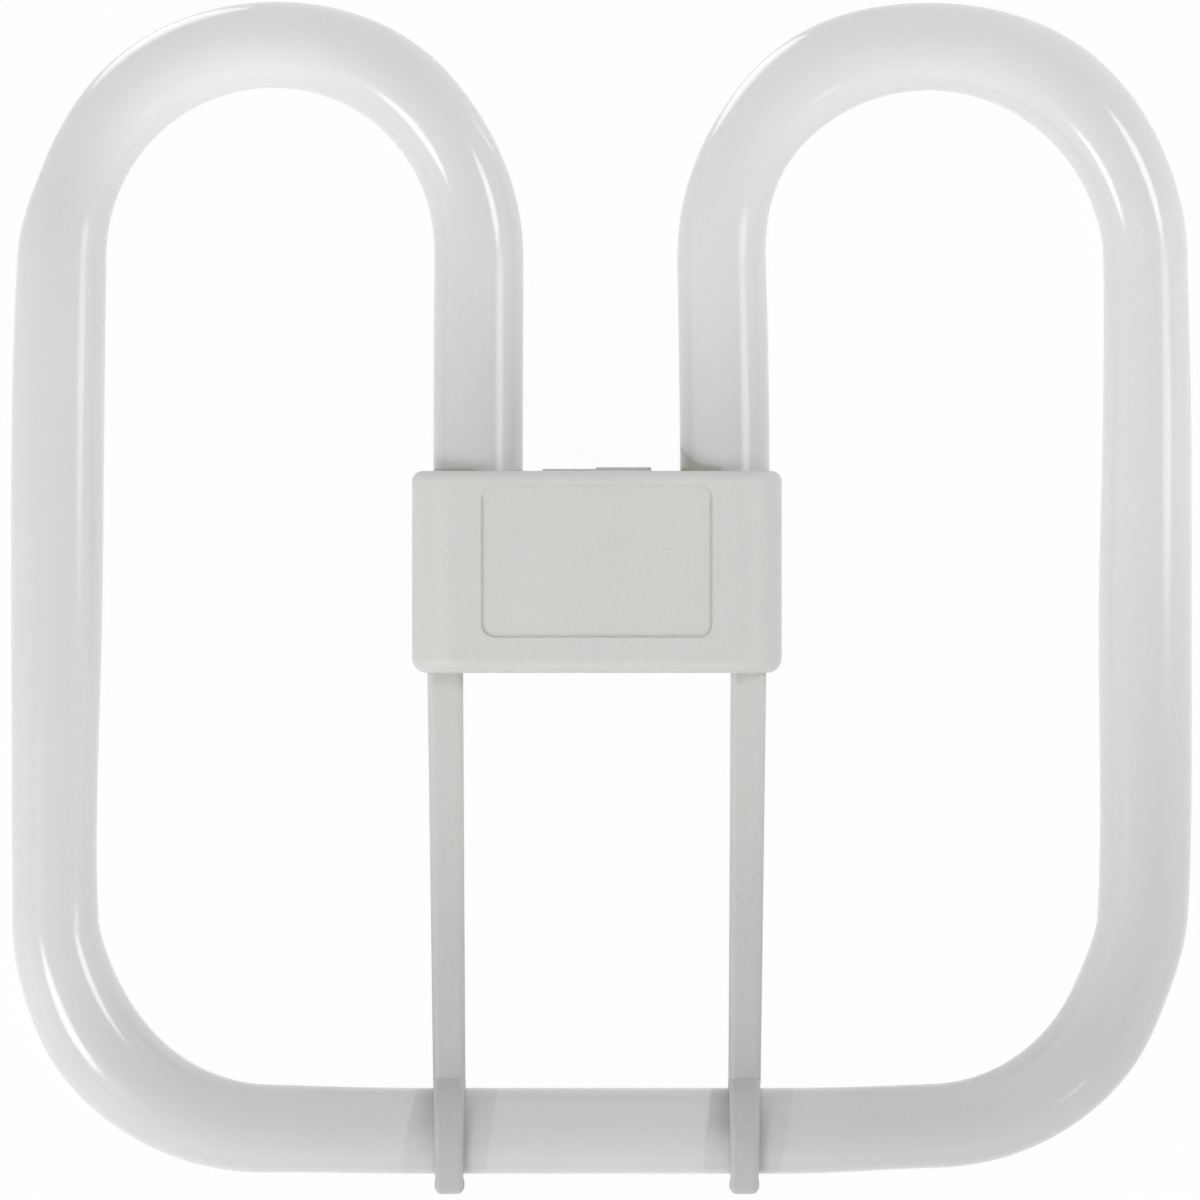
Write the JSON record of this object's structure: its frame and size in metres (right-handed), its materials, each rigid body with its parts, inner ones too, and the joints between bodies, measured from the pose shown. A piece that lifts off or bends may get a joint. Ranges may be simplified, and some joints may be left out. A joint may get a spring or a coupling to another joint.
{
  "type": "square compact fluorescent lamp",
  "caption": "Flat square fluorescent lamp: one glass tube folded in two loops, its ends in a white plug-in cap with two arms that clip round the far side of the tube.",
  "frame": {"origin": "under the middle of the lamp's outline, in the plane of the rim of the well on the cap's back, which the lamp lies on", "axes": "+X to the right and +Y from the rail to the two loops, seen from the front; +Z out of the cap's front face"},
  "size_m": [0.205, 0.207, 0.0303],
  "materials": {
    "phosphor_glass": "glossy glass, white phosphor behind it",
    "white_plastic": "satin moulded plastic",
    "cement": "matt cement",
    "brass": "turned brass",
    "tinned_wire": "tinned wire"
  },
  "bodies": {
    "root": {"discharge_tube": "phosphor_glass", "housing_front": "white_plastic", "housing_rear": "white_plastic", "cement_ring_left": "cement", "cement_ring_right": "cement", "contact_pin_upper_left": "brass", "contact_pin_upper_right": "brass", "contact_pin_lower_left": "brass", "contact_pin_lower_right": "brass", "lead_wire_upper_left": "tinned_wire", "lead_wire_upper_right": "tinned_wire", "lead_wire_lower_left": "tinned_wire", "lead_wire_lower_right": "tinned_wire"}
  },
  "joints": []
}
